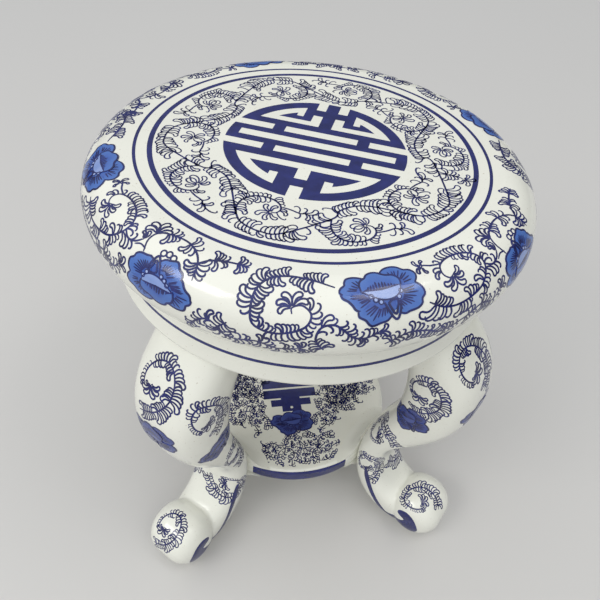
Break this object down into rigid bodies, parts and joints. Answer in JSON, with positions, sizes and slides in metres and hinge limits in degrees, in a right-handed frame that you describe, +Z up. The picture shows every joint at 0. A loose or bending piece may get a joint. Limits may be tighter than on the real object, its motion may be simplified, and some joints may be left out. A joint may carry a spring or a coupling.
{
  "type": "porcelain stool",
  "caption": "Low round porcelain stool with a rolled rim, S-shaped scroll-foot legs and a round lower shelf, white glaze with blue vine and flower painting.",
  "frame": {"origin": "on the floor, under the middle of the seat", "axes": "+Z up along the seat's axis, -Y towards the front, midway between the two front legs"},
  "size_m": [0.24, 0.24, 0.265],
  "materials": {
    "white_glaze": "gloss clear glaze on white porcelain",
    "cobalt_paint": "cobalt blue painting under the gloss glaze",
    "bare_clay": "unglazed fired porcelain"
  },
  "bodies": {
    "root": {"seat_cap": "white_glaze", "seat_apron": "white_glaze", "leg_front_left": "white_glaze", "leg_front_right": "white_glaze", "leg_back_left": "white_glaze", "leg_back_right": "white_glaze", "lower_shelf": "white_glaze", "seat_floor": "bare_clay"}
  },
  "joints": []
}
